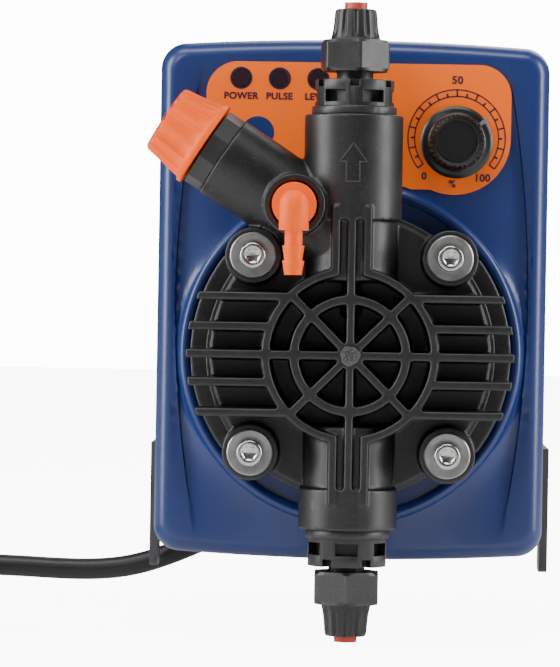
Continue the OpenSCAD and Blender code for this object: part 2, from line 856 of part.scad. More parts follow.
wall_bracket();
bracket_screws();
rear_shell();
housing_gasket();
front_shell();
housing_screws();
control_label();
led_lenses();
circuit_board();
potentiometer();
dial_shaft();
dial_knob();
dial_pointer();
level_socket();
cable_gland();
strain_relief();
mains_cord();
cord_coil();
cord_tail();
coil_tie();
mains_plug();
plug_pins();
solenoid_can();
solenoid_coil();
fixed_core();
guide_bush();
front_flange();
plunger();
plunger_shaft();
return_spring();
diaphragm();
diaphragm_core();
pump_head();
head_screws();
head_washers();
discharge_valve_body();
discharge_seat();
discharge_ball();
discharge_o_rings();
discharge_nut();
discharge_plug();
suction_valve_body();
suction_seat();
suction_ball();
suction_o_rings();
suction_nut();
suction_plug();
bleed_collar();
bleed_stem();
bleed_o_ring();
bleed_knob();
drain_elbow();
elbow_o_ring();
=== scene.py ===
"""Diaphragm metering pump on its wall bracket: looks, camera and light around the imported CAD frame."""
import json
import math

import bmesh
import bpy
from mathutils import Matrix, Vector
from mathutils.geometry import delaunay_2d_cdt


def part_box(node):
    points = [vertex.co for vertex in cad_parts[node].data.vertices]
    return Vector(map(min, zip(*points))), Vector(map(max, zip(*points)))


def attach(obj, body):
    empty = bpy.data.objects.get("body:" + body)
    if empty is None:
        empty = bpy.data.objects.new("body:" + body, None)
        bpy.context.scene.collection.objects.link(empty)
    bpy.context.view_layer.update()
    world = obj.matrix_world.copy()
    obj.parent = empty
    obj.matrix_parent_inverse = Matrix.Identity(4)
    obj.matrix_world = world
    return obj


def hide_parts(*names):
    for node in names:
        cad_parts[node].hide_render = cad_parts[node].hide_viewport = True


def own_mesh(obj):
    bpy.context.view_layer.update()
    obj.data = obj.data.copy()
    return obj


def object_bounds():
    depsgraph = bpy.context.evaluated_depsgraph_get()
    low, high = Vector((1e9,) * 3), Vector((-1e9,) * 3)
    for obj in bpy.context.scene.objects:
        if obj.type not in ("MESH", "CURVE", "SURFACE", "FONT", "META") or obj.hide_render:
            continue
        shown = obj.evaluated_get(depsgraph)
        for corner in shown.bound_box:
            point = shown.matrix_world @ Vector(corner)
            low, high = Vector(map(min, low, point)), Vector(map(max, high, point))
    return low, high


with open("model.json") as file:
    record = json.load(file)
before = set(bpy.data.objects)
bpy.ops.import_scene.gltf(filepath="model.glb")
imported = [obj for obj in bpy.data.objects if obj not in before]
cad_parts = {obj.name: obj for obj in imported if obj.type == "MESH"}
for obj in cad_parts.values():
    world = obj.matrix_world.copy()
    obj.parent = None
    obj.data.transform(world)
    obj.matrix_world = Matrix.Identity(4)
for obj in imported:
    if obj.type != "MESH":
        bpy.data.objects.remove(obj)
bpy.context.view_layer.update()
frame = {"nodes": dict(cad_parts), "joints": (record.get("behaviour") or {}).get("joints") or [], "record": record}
NODES = frame["nodes"]

MM = 0.001

# ---- places taken from the frame, in millimetres -----------------------------


def joint_place(name):
    """Where a joint's axis passes, in millimetres."""
    joint = next(j for j in frame["joints"] if j["name"] == name)
    return Vector(joint["pos_m"]) / MM


def box_mm(node):
    """A node's lowest and highest corners, in millimetres."""
    low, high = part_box(node)
    return Vector(low) / MM, Vector(high) / MM


shell_low, shell_high = box_mm("front_shell")
head_low = box_mm("pump_head")[0]
label_low, label_high = box_mm("control_label")
knob_low, knob_high = box_mm("dial_knob")
washer_low, washer_high = box_mm("head_washers")

HUB_Z = (washer_low.z + washer_high.z) / 2
HALF_W = (shell_high.x - shell_low.x) / 2
HALF_H = (shell_high.z - shell_low.z) / 2
FACE_Y = label_high.y
LABEL_Y = label_low.y
HEAD_Y = head_low.y
SHELL_BACK = shell_high.y
DIAL = joint_place("dial_turn")

# ---- materials ----------------------------------------------------------------


def new_material(name):
    """Material with its node tree and its shader node."""
    material = bpy.data.materials.new(name)
    material.use_nodes = True
    tree = material.node_tree
    shader = tree.nodes["Principled BSDF"]
    return material, tree, shader


def noise(tree, scale, detail=3.0, stretch=(1, 1, 1), coords="Object"):
    """Procedural noise in the object's own metres."""
    place = tree.nodes.new("ShaderNodeTexCoord")
    mapping = tree.nodes.new("ShaderNodeMapping")
    mapping.inputs["Scale"].default_value = stretch
    texture = tree.nodes.new("ShaderNodeTexNoise")
    texture.inputs["Scale"].default_value = scale
    texture.inputs["Detail"].default_value = detail
    tree.links.new(place.outputs[coords], mapping.inputs["Vector"])
    tree.links.new(mapping.outputs["Vector"], texture.inputs["Vector"])
    return texture.outputs["Fac"]


def ramp(tree, value, low, high, low_at=0.3, high_at=0.7):
    """Colour that runs between two colours as value goes from low_at to high_at."""
    node = tree.nodes.new("ShaderNodeValToRGB")
    node.color_ramp.elements[0].position = low_at
    node.color_ramp.elements[1].position = high_at
    node.color_ramp.elements[0].color = (*low, 1)
    node.color_ramp.elements[1].color = (*high, 1)
    tree.links.new(value, node.inputs["Fac"])
    return node.outputs["Color"]


def spread(tree, value, low, high):
    """Number that runs from low to high as value goes from 0 to 1."""
    node = tree.nodes.new("ShaderNodeMapRange")
    node.inputs["To Min"].default_value = low
    node.inputs["To Max"].default_value = high
    tree.links.new(value, node.inputs["Value"])
    return node.outputs["Result"]


def bumps(tree, shader, layers):
    """Chains bump layers, each (height, distance in metres, strength), into the shader's normal."""
    normal = None
    for height, distance, strength in layers:
        node = tree.nodes.new("ShaderNodeBump")
        node.inputs["Distance"].default_value = distance
        node.inputs["Strength"].default_value = strength
        tree.links.new(height, node.inputs["Height"])
        if normal:
            tree.links.new(normal, node.inputs["Normal"])
        normal = node.outputs["Normal"]
    tree.links.new(normal, shader.inputs["Normal"])


def plastic(name, colour, vary=0.12, rough=(0.35, 0.5), grain=2500, grain_depth=0.00004, grain_strength=0.25,
            wave=60, wave_strength=0.12, specular=0.5, coat=0.0):
    """Moulded plastic: slow colour drift, fine mould grain and slight waviness."""
    material, tree, shader = new_material(name)
    slow = noise(tree, wave, 2.0)
    fine = noise(tree, grain, 4.0)
    low = tuple(c * (1 - vary) for c in colour)
    high = tuple(min(1, c * (1 + vary)) for c in colour)
    tree.links.new(ramp(tree, slow, low, high), shader.inputs["Base Color"])
    tree.links.new(spread(tree, fine, *rough), shader.inputs["Roughness"])
    shader.inputs["Specular IOR Level"].default_value = specular
    shader.inputs["Coat Weight"].default_value = coat
    shader.inputs["Coat Roughness"].default_value = 0.2
    bumps(tree, shader, [(slow, 0.0002, wave_strength), (fine, grain_depth, grain_strength)])
    return material


def glass_filled(name, colour, edge_highlight_gain=9):
    """Glass-filled polypropylene: grey speckle of fibres over black, with a painted highlight that lightens its
    sharp edges; satin and slightly rough.
    """
    material, tree, shader = new_material(name)
    cloud = noise(tree, 180, 5.0)
    speck = noise(tree, 3200, 2.0)
    base = ramp(tree, cloud, tuple(c * 0.75 for c in colour), tuple(c * 1.5 for c in colour), 0.35, 0.7)
    fleck = ramp(tree, speck, (0, 0, 0), (1, 1, 1), 0.58, 0.72)
    mix = tree.nodes.new("ShaderNodeMix")
    mix.data_type = "RGBA"
    tree.links.new(fleck, mix.inputs["Factor"])
    tree.links.new(base, mix.inputs["A"])
    mix.inputs["B"].default_value = (*(min(1, c * 9) for c in colour), 1)
    # Painted highlight: the colour is lighter on sharp convex edges, found from pointiness, in place of the light
    # those edges catch.
    shape = tree.nodes.new("ShaderNodeNewGeometry")
    edge = ramp(tree, shape.outputs["Pointiness"], (0, 0, 0), (1, 1, 1), 0.5, 0.62)
    edge_highlight = tree.nodes.new("ShaderNodeMix")
    edge_highlight.data_type = "RGBA"
    tree.links.new(edge, edge_highlight.inputs["Factor"])
    tree.links.new(mix.outputs["Result"], edge_highlight.inputs["A"])
    edge_highlight.inputs["B"].default_value = (*(min(1, c * edge_highlight_gain) for c in colour), 1)
    tree.links.new(edge_highlight.outputs["Result"], shader.inputs["Base Color"])
    tree.links.new(spread(tree, cloud, 0.33, 0.52), shader.inputs["Roughness"])
    bumps(tree, shader, [(cloud, 0.00015, 0.25), (speck, 0.00005, 0.45)])
    return material


def metal(name, colour, rough=(0.16, 0.34), turned=False, scale=900):
    """Metal with fine marks, in rings when turned."""
    material, tree, shader = new_material(name)
    marks = noise(tree, scale, 4.0, (1, 0.15, 1) if turned else (1, 1, 1))
    wear = noise(tree, 250, 3.0)
    dull = tuple(c * 0.72 for c in colour)
    tree.links.new(ramp(tree, wear, dull, colour, 0.35, 0.65), shader.inputs["Base Color"])
    tree.links.new(spread(tree, marks, *rough), shader.inputs["Roughness"])
    shader.inputs["Metallic"].default_value = 1.0
    bumps(tree, shader, [(marks, 0.00003, 0.25)])
    return material


def board(name):
    """Green circuit board with faint tracks under its solder resist."""
    material, tree, shader = new_material(name)
    place = tree.nodes.new("ShaderNodeTexCoord")
    tracks = tree.nodes.new("ShaderNodeTexBrick")
    tracks.inputs["Scale"].default_value = 180
    tracks.inputs["Color1"].default_value = (0.015, 0.13, 0.05, 1)
    tracks.inputs["Color2"].default_value = (0.02, 0.17, 0.07, 1)
    tracks.inputs["Mortar"].default_value = (0.05, 0.28, 0.12, 1)
    tree.links.new(place.outputs["Object"], tracks.inputs["Vector"])
    tree.links.new(tracks.outputs["Color"], shader.inputs["Base Color"])
    tree.links.new(spread(tree, noise(tree, 700), 0.2, 0.35), shader.inputs["Roughness"])
    return material


MATERIALS = {
    "housing_blue": plastic("housing_blue", (0.008, 0.024, 0.125), 0.08, (0.3, 0.42), 1800, 0.00002, 0.18,
                            35, 0.05, 0.5, 0.15),
    # moulded_black and gate_grey get glass_filled's painted highlight on sharp edges; the last argument sets how
    # bright it is.
    "moulded_black": glass_filled("moulded_black", (0.0036, 0.0036, 0.0038)),
    "knob_black": plastic("knob_black", (0.004, 0.004, 0.0043), 0.15, (0.26, 0.42)),
    "gate_grey": glass_filled("gate_grey", (0.03, 0.03, 0.03), 3),
    "pointer_grey": plastic("pointer_grey", (0.2, 0.2, 0.21)),
    "label_orange": plastic("label_orange", (0.98, 0.15, 0.002), 0.02, (0.32, 0.42), 1500, 0.00001, 0.1,
                            40, 0.03, 0.32),
    "print_navy": plastic("print_navy", (0.016, 0.008, 0.035), 0.1, (0.35, 0.5)),
    "part_orange": plastic("part_orange", (0.98, 0.11, 0.0005), 0.05, (0.4, 0.52), 1400, 0.00003, 0.2,
                           70, 0.1, 0.2),
    "plug_coral": plastic("plug_coral", (0.5, 0.04, 0.02), 0.08, (0.35, 0.5)),
    "led_dark": plastic("led_dark", (0.02, 0.008, 0.012), 0.3, (0.08, 0.16), coat=0.5),
    "board_green": board("board_green"),
    "stainless": metal("stainless", (0.55, 0.55, 0.54), (0.16, 0.32)),
    "washer_steel": metal("washer_steel", (0.36, 0.36, 0.355), (0.28, 0.45), True),
    "zinc_steel": metal("zinc_steel", (0.55, 0.56, 0.57), (0.22, 0.4)),
    "bracket_grey": plastic("bracket_grey", (0.05, 0.052, 0.058), 0.15, (0.4, 0.55), 1600, 0.00004, 0.3),
    "black_rubber": plastic("black_rubber", (0.013, 0.013, 0.014), 0.15, (0.55, 0.75), 1500, 0.00004, 0.3),
    "cord_black": plastic("cord_black", (0.006, 0.006, 0.0065), 0.2, (0.34, 0.5), 900, 0.00003, 0.3,
                          120, 0.1),
    "plug_black": plastic("plug_black", (0.013, 0.013, 0.014), 0.15, (0.4, 0.55), 1400, 0.00005, 0.4),
    "tie_grey": plastic("tie_grey", (0.25, 0.25, 0.26), 0.1, (0.4, 0.5)),
    "pin_nickel": metal("pin_nickel", (0.75, 0.74, 0.7), (0.1, 0.2)),
    "winding_copper": metal("winding_copper", (0.5, 0.22, 0.1), (0.2, 0.4), True, 1500),
    "bush_brass": metal("bush_brass", (0.72, 0.52, 0.22), (0.15, 0.3), True),
    "diaphragm_white": plastic("diaphragm_white", (0.8, 0.8, 0.78), 0.04, (0.3, 0.45)),
    "ball_ceramic": plastic("ball_ceramic", (0.75, 0.73, 0.69), 0.03, (0.1, 0.18)),
}

# ---- camera, light and stage --------------------------------------------------

CAMERA_AT = Vector((3.68, HEAD_Y - 1000, HUB_Z + 18.36)) * MM
SENSOR_WIDTH = 36
LENS = 210
YAW, PITCH, ROLL = math.radians(1.259), math.radians(-0.737), math.radians(-0.988)


def make_camera():
    """Long lens, a metre in front of the head."""
    data = bpy.data.cameras.new("camera")
    data.sensor_width = SENSOR_WIDTH
    data.lens = LENS
    data.clip_end = 20
    camera = bpy.data.objects.new("camera", data)
    camera.location = CAMERA_AT
    camera.rotation_euler = (math.pi / 2 + PITCH, ROLL, YAW)
    bpy.context.scene.collection.objects.link(camera)
    bpy.context.scene.camera = camera


def area_light(name, at, aim, size, power, height=None):
    """Rectangular lamp pointed at a place."""
    data = bpy.data.lights.new(name, "AREA")
    data.shape = "RECTANGLE"
    data.size = size
    data.size_y = height or size
    data.energy = power
    lamp = bpy.data.objects.new(name, data)
    lamp.location = at
    lamp.rotation_euler = (Vector(aim) - Vector(at)).to_track_quat("-Z", "Y").to_euler()
    bpy.context.scene.collection.objects.link(lamp)


def make_light():
    """Soft boxes round the object, and a world that the camera sees as white."""
    centre = (0, -0.08, 0)
    area_light("left_box", (-0.9, -0.35, 0.15), centre, 0.4, 17, 1.1)
    area_light("right_box", (0.9, -0.3, 0.15), centre, 0.35, 15, 1.1)
    area_light("top_box", (-0.1, -0.4, 1.0), centre, 1.0, 9, 0.4)
    area_light("front_fill", (-0.7, -1.4, 0.9), centre, 0.4, 6, 0.4)
    area_light("back_box", (0.3, 0.9, 0.7), centre, 0.8, 8, 0.8)
    world = bpy.data.worlds.new("studio")
    world.use_nodes = True
    world.node_tree.nodes["Background"].inputs["Color"].default_value = (1, 1, 1, 1)
    dim_for_all_but_the_camera(world.node_tree, world.node_tree.nodes["Background"], 0.1, 14.0)
    bpy.context.scene.world = world


def dim_for_all_but_the_camera(tree, node, lit, seen):
    """Strength that the camera sees as white, and that lights the object only a little."""
    path = tree.nodes.new("ShaderNodeLightPath")
    strength = spread(tree, path.outputs["Is Camera Ray"], lit, seen)
    tree.links.new(strength, node.inputs["Strength"])


def make_stage():
    """Pale floor under the lead's coil, wide enough for every view."""
    floor_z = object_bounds()[0][2] - 0.0003
    wide = 3.0
    mesh = bpy.data.meshes.new("stage")
    corners = [(-wide, -wide), (wide, -wide), (wide, wide), (-wide, wide)]
    mesh.from_pydata([(x, y, floor_z) for x, y in corners], [], [(0, 1, 2, 3)])
    stage = bpy.data.objects.new("stage", mesh)
    bpy.context.scene.collection.objects.link(stage)
    material, tree, shader = new_material("stage_paper")
    paper = ramp(tree, noise(tree, 3), (0.84, 0.84, 0.84), (0.87, 0.87, 0.87))
    tree.links.new(paper, shader.inputs["Base Color"])
    shader.inputs["Roughness"].default_value = 0.9
    shader.inputs["Emission Color"].default_value = (1, 1, 1, 1)
    path = tree.nodes.new("ShaderNodeLightPath")
    tree.links.new(spread(tree, path.outputs["Is Camera Ray"], 0.0, 9.0), shader.inputs["Emission Strength"])
    mesh.materials.append(material)


make_camera()
make_light()
make_stage()

# ---- mesh helpers ---------------------------------------------------------------


def make_piece(name, verts, faces, material, body="root", smooth=True):
    """Piece from points in millimetres, riding on a body."""
    mesh = bpy.data.meshes.new(name)
    mesh.from_pydata([Vector(v) * MM for v in verts], [], faces)
    mesh.validate()
    tidy = bmesh.new()
    tidy.from_mesh(mesh)
    bmesh.ops.remove_doubles(tidy, verts=tidy.verts, dist=1e-7)
    bmesh.ops.recalc_face_normals(tidy, faces=tidy.faces)
    tidy.to_mesh(mesh)
    tidy.free()
    piece = bpy.data.objects.new(name, mesh)
    bpy.context.scene.collection.objects.link(piece)
    mesh.materials.append(MATERIALS[material])
    if smooth:
        mesh.shade_smooth()
        mesh.set_sharp_from_angle(angle=math.radians(38))
    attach(piece, body)
    return piece


def loft(rings, cap_start=True, cap_end=True):
    """Faces and points of a closed skin through rings of equal count."""
    n = len(rings[0])
    verts = [p for r in rings for p in r]
    faces = []
    for i in range(len(rings) - 1):
        for k in range(n):
            a, b = i * n + k, i * n + (k + 1) % n
            faces.append((a, b, b + n, a + n))
    if cap_start:
        faces.append(tuple(reversed(range(n))))
    if cap_end:
        faces.append(tuple((len(rings) - 1) * n + k for k in range(n)))
    return verts, faces


def lathe(profile, segments=96, shape=None, hollow=False):
    """Skin turned about local Z from (radius, height) pairs; shape changes the radius by angle and height."""
    if hollow:
        profile = profile + profile[:1]
    rings = []
    for radius, height in profile:
        ring = []
        for k in range(segments):
            a = 2 * math.pi * k / segments
            r = shape(radius, height, a) if shape else radius
            ring.append((r * math.cos(a), r * math.sin(a), height))
        rings.append(ring)
    return loft(rings, not hollow, not hollow)


def placed(verts, matrix):
    """Points moved by a matrix."""
    return [matrix @ Vector(v) for v in verts]


def facing_front(x, y, z):
    """Local X right, Y up and Z towards the viewer, with its origin at a place in millimetres."""
    return Matrix.Translation((x, y, z)) @ Matrix.Rotation(math.pi / 2, 4, "X")


# ---- mains lead ------------------------------------------------------------------

CORD_D = 6.2
LEAD = [(-6, -16, -60), (-12, -16, -60.3), (-18, -16, -61.4), (-24, -16, -63.3), (-30, -16, -65.8),
        (-36, -16, -68.5), (-42, -16, -71.2), (-48, -16, -73.9), (-54, -16, -76.3), (-60, -16, -78.3),
        (-67, -16, -79.8), (-75, -16, -80.5), (-84, -16, -80.5), (-94, -16, -80.1), (-104, -16, -79.8),
        (-117, -16, -79.7), (-132, -16, -79.7)]
TAIL = [(-174, -100, -85.6), (-170, -105, -84.8), (-165, -109.2, -83.2), (-159, -112.6, -81),
        (-153, -114.8, -78.6), (-148, -115.8, -76.9), (-143, -116.2, -75.8)]
COIL = Vector((-154, -57, 0))
RING_R = 34.6
RING_PITCH = 6.4
LOW_LAYER = -85.9
HIGH_LAYER = -79.7


def coil_points():
    """Top layer winding inwards, then bottom layer winding outwards, leaving towards the plug."""
    outer = RING_R + RING_PITCH
    inner = RING_R - RING_PITCH
    start, leave = math.radians(90), math.radians(215)
    step = math.radians(15)
    turn = 2 * math.pi
    top_end = start + 3 * turn
    end = leave + 6 * turn
    points = []
    a = start
    while a < end:
        if a < top_end:
            turns_done = (a - start) / turn
            radius, z = ring_at(turns_done, outer, -RING_PITCH), HIGH_LAYER
        else:
            turns_done = (a - top_end) / turn
            radius, z = ring_at(turns_done, inner, RING_PITCH), LOW_LAYER
        blend = min(1, max(0, (a - top_end + math.radians(25)) / math.radians(50)))
        blend = blend * blend * (3 - 2 * blend)
        z = HIGH_LAYER + (LOW_LAYER - HIGH_LAYER) * blend
        points.append((COIL.x + radius * math.cos(a), COIL.y + radius * math.sin(a), z))
        a += step
    return points


def ring_at(turns, first, pitch):
    """Radius that stays on a ring and crosses to the next one over the last half of each turn."""
    whole = min(2, int(turns))
    part = turns - whole
    cross = min(1, max(0, (part - 0.5) / 0.5)) if whole < 2 else 0
    return first + pitch * (whole + cross * cross * (3 - 2 * cross))


def make_cord():
    """Mains lead on one smooth curve, from the gland through the coil to the plug."""
    points = LEAD + coil_points() + TAIL
    data = bpy.data.curves.new("mains_lead", "CURVE")
    data.dimensions = "3D"
    data.bevel_depth = CORD_D / 2 * MM
    data.bevel_resolution = 6
    data.resolution_u = 6
    data.use_fill_caps = True
    spline = data.splines.new("BEZIER")
    spline.bezier_points.add(len(points) - 1)
    for i, p in enumerate(points):
        here = Vector(p) * MM
        before = Vector(points[max(0, i - 1)]) * MM
        after = Vector(points[min(len(points) - 1, i + 1)]) * MM
        direction = (after - before).normalized()
        point = spline.bezier_points[i]
        point.co = here
        point.handle_left = here - direction * (here - before).length / 3
        point.handle_right = here + direction * (after - here).length / 3
    data.materials.append(MATERIALS["cord_black"])
    lead = bpy.data.objects.new("mains_lead", data)
    bpy.context.scene.collection.objects.link(lead)
    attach(lead, "root")
    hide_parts("mains_cord", "cord_coil", "cord_tail")
    length = sum((Vector(b) - Vector(a)).length for a, b in zip(points, points[1:])) * MM
    return lead, length


def make_boot():
    """Tapered strain relief with grooves across it."""
    low, high = box_mm("strain_relief")
    length = high.x - low.x
    profile = [(0, 0), (5.2, 0), (5.6, 0.5), (5.6, 3)]
    grooves = 6
    pitch = (length - 5) / grooves
    for i in range(grooves):
        z = 3 + i * pitch
        r = 5.3 - 1.4 * i / grooves
        profile += [(r, z + 0.2), (r - 0.9, z + 0.5), (r - 0.9, z + pitch * 0.4), (r - 0.1, z + pitch * 0.55),
                    (r - 0.15, z + pitch * 0.95)]
    profile += [(3.9, length - 1.6), (3.7, length - 0.3), (3.3, length), (0, length)]
    verts, faces = lathe(profile, 48)
    turn = Matrix.Translation((high.x, (low.y + high.y) / 2, (low.z + high.z) / 2)) @ Matrix.Rotation(
        -math.pi / 2, 4, "Y")
    boot = make_piece("boot", placed(verts, turn), faces, "cord_black")
    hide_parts("strain_relief")
    return boot


def make_plug():
    """Round moulded plug with a ribbed neck and flattened grip sides."""
    low, high = box_mm("mains_plug")
    length = high.x - low.x
    big = (high.z - low.z) / 2
    profile = [(0, 0), (3.9, 0), (4.2, 0.4)]
    for i in range(4):
        z = 1 + i * 2.2
        r = 4.3 + 0.35 * i
        profile += [(r, z), (r, z + 1.0), (r - 0.7, z + 1.3), (r - 0.7, z + 1.9)]
    profile += [(6.2, 10), (7.6, 11.6), (9.6, 13), (big - 1.2, 14.6), (big - 0.3, 15.6), (big, 17), (big, 20),
                (big - 0.5, 20.3), (big - 0.5, 21), (big, 21.3), (big, length - 0.8),
                (big - 0.25, length - 0.2),
                (big - 0.9, length), (0, length)]

    def grip(r, h, a):
        flat = abs(math.cos(a)) ** 8 * min(1, max(0, (h - 8) / 6)) * min(1, max(0, (length - 3 - h) / 5))
        return r * (1 - 0.1 * flat)

    verts, faces = lathe(profile, 72, grip)
    turn = Matrix.Translation((low.x, (low.y + high.y) / 2, (low.z + high.z) / 2)) @ Matrix.Rotation(
        math.pi / 2, 4, "Y")
    plug = make_piece("plug_body", placed(verts, turn), faces, "plug_black")
    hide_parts("mains_plug")
    return plug


lead, lead_length = make_cord()
boot = make_boot()
plug = make_plug()

# ---- housing front ------------------------------------------------------------------

ARCH = 1.5
CORNER = 7.0
EDGE_IN = 4.0
EDGE_DEEP = 6.5
CREASE_R = 315.0
CREASE_X = 46.7
CREASE_Z = 14.0
CREASE_TOP = 80.0
CREASE_BOTTOM = -51.0
RIM_R = 44.2
RIM_HALF = 1.7
RIM_RISE = 2.4


def outline(inset, per_edge=26, per_corner=14):
    """Front outline with arched top and bottom, as points (x, z) from the housing's centre."""
    w, h = HALF_W - inset, HALF_H - ARCH - inset
    r = max(CORNER - inset * 0.6, 1)
    points = []

    def arch(x):
        return ARCH * (1 - min(1, abs(x) / (w - r)) ** 2)

    for k in range(per_edge):
        x = (w - r) * (1 - 2 * k / per_edge)
        points.append((x, h + arch(x)))
    for k in range(per_corner):
        a = math.pi / 2 * (1 + k / per_corner)
        points.append((-(w - r) + r * math.cos(a), h - r + r * math.sin(a)))
    for k in range(per_edge):
        points.append((-w, (h - r) * (1 - 2 * k / per_edge)))
    for k in range(per_corner):
        a = math.pi / 2 * (2 + k / per_corner)
        points.append((-(w - r) + r * math.cos(a), -(h - r) + r * math.sin(a)))
    for k in range(per_edge):
        x = -(w - r) * (1 - 2 * k / per_edge)
        points.append((x, -(h + arch(x))))
    for k in range(per_corner):
        a = math.pi / 2 * (3 + k / per_corner)
        points.append((w - r + r * math.cos(a), -(h - r) + r * math.sin(a)))
    for k in range(per_edge):
        points.append((w, -(h - r) * (1 - 2 * k / per_edge)))
    for k in range(per_corner):
        a = math.pi / 2 * k / per_corner
        points.append((w - r + r * math.cos(a), h - r + r * math.sin(a)))
    return points


def smooth(value):
    """Share from 0 to 1, eased at both ends."""
    value = min(1, max(0, value))
    return value * value * (3 - 2 * value)


def crease_x(z):
    """Distance of the crease from the middle, at a height from the head's centre."""
    return CREASE_X - (z - CREASE_Z) ** 2 / (2 * CREASE_R)


def relief(x, z):
    """How far the front face stands forward of its plane, for a place from the head's centre."""
    gap = abs(x) - crease_x(z)
    fade = smooth((CREASE_TOP - z) / 26) * smooth((z - CREASE_BOTTOM) / 26)
    if gap < 0.01:
        valley = -1.6 * fade * smooth((gap + 13) / 13) ** 2
    else:
        valley = -0.5 * fade * smooth(1 - gap / 5)
    r = math.hypot(x, z)
    across = (r - RIM_R) / RIM_HALF
    bead = RIM_RISE * math.sqrt(max(0, 1 - across * across)) if abs(across) < 1 else 0
    shoulder = 0.7 * smooth(1 - (r - RIM_R) / 5.5) if r > RIM_R else 0
    if r < RIM_R - RIM_HALF:
        return -1.0
    return valley * smooth((r - RIM_R - 0.6) / 2.6) + max(bead, shoulder)


def ring_of(radius, count=200):
    """Points on a circle."""
    return [(radius * math.cos(2 * math.pi * k / count), radius * math.sin(2 * math.pi * k / count))
            for k in range(count)]


def make_front_shell():
    """Side walls lofted from the outline, and a front face with creases and the head's rim."""
    loops = [(SHELL_BACK, 0.5), (SHELL_BACK - 0.15, 0.2), (SHELL_BACK - 0.5, 0)]
    start = FACE_Y + EDGE_DEEP
    for k in range(1, 5):
        loops.append((SHELL_BACK - 0.5 + (start - SHELL_BACK + 0.5) * k / 4, 0))
    edge_steps = 10
    for k in range(1, edge_steps + 1):
        a = math.pi / 2 * k / edge_steps
        loops.append((start - EDGE_DEEP * math.sin(a), EDGE_IN * (1 - math.cos(a))))
    rings = [[(x, y, z) for x, z in outline(inset)] for y, inset in loops]
    verts, faces = loft(rings, True, False)

    border = [Vector((x, z - HUB_Z)) for x, z in outline(EDGE_IN)]
    inside_border = [Vector((x, z - HUB_Z)) for x, z in outline(EDGE_IN + 0.6)]
    points = list(border)
    edges = [(k, (k + 1) % len(border)) for k in range(len(border))]

    def inside(p, limit):
        return abs(p[0]) < HALF_W - limit and abs(p[1] + HUB_Z) < HALF_H - ARCH - limit

    def add_line(line, closed=False):
        first = len(points)
        points.extend(Vector(p) for p in line)
        count = len(line)
        edges.extend((first + k, first + k + 1) for k in range(count - 1))
        if closed:
            edges.append((first + count - 1, first))

    for offset in (-9, -6.5, -4.5, -3, -1.8, -0.8, 0, 0.35, 1.2, 2.2):
        for side in (-1, 1):
            line = []
            rows = 96
            for k in range(rows + 1):
                z = CREASE_BOTTOM + (CREASE_TOP - CREASE_BOTTOM) * k / rows
                x = crease_x(z) + offset
                if x < HALF_W - EDGE_IN - 0.3 and math.hypot(x, z) > RIM_R + 2:
                    line.append((side * x, z))
                elif len(line) > 1:
                    add_line(line)
                    line = []
                else:
                    line = []
            if len(line) > 1:
                add_line(line)
    for radius in (20, 34, 41.8, 42.45, 42.55, 42.8, 43.2, 43.7, 44.2, 44.7, 45.2, 45.6, 45.85, 46.3, 47,
                   48, 49.5):
        if radius < HALF_W - EDGE_IN - 0.6:
            add_line(ring_of(radius), True)
    step = 4.0
    for i in range(-12, 13):
        for k in range(-17, 18):
            p = (i * step, k * step - HUB_Z)
            gap = abs(p[0]) - crease_x(p[1])
            if inside(p, EDGE_IN + 2) and math.hypot(*p) > RIM_R + 6 and not -9.5 < gap < 2.6:
                points.append(Vector(p))
    points.extend(inside_border[::3])
    flat, _, tris, _, _, _ = delaunay_2d_cdt(points, edges, [list(range(len(border)))], 1, 0.01)
    first = len(verts)
    for p in flat:
        near_edge = min((Vector((p[0], p[1])) - b).length for b in border)
        rise = relief(p[0], p[1]) * smooth(near_edge / 2.5)
        verts.append((p[0], FACE_Y - rise, p[1] + HUB_Z))
    faces += [tuple(first + i for i in t) for t in tris]
    shell = make_piece("front_shell_skin", verts, faces, "housing_blue")
    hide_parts("front_shell")


make_front_shell()

# ---- label print ------------------------------------------------------------------------

PRINT_LIFT = 0.06
SCALE_OUTER = 13.1
SCALE_INNER = 11.0
SCALE_SPAN = 128
SCALE_AT = (DIAL.x, DIAL.z - HUB_Z + 1.1)


class Print:
    """Flat printed shapes on the label, gathered into one mesh; x and z are from the head's centre."""

    def __init__(self):
        self.verts = []
        self.faces = []

    def strip(self, outer, inner):
        """Thin raised band between two lines of points."""
        n = len(outer)
        start = len(self.verts)
        front = LABEL_Y - PRINT_LIFT
        for line, y in ((outer, front), (inner, front), (inner, LABEL_Y), (outer, LABEL_Y)):
            self.verts.extend((x, y, z + HUB_Z) for x, z in line)
        for k in range(n - 1):
            for row in range(4):
                a = start + row * n + k
                b = start + (row + 1) % 4 * n + k
                self.faces.append((a, a + 1, b + 1, b))
        for k in (0, n - 1):
            self.faces.append(tuple(start + row * n + k for row in range(4)))

    def arc(self, centre, r_out, r_in, a0, a1, steps=96):
        """Band along a circle; angles in degrees, clockwise from the top."""
        lines = []
        for r in (r_out, r_in):
            line = []
            for k in range(steps + 1):
                a = math.radians(a0 + (a1 - a0) * k / steps)
                line.append((centre[0] + r * math.sin(a), centre[1] + r * math.cos(a)))
            lines.append(line)
        self.strip(*lines)

    def tick(self, centre, r_out, r_in, angle, width):
        a = math.radians(angle)
        out = Vector((math.sin(a), math.cos(a)))
        side = Vector((out.y, -out.x)) * width / 2
        c = Vector(centre)
        near, far = c + out * r_in, c + out * r_out
        self.strip([near - side, far - side], [near + side, far + side])


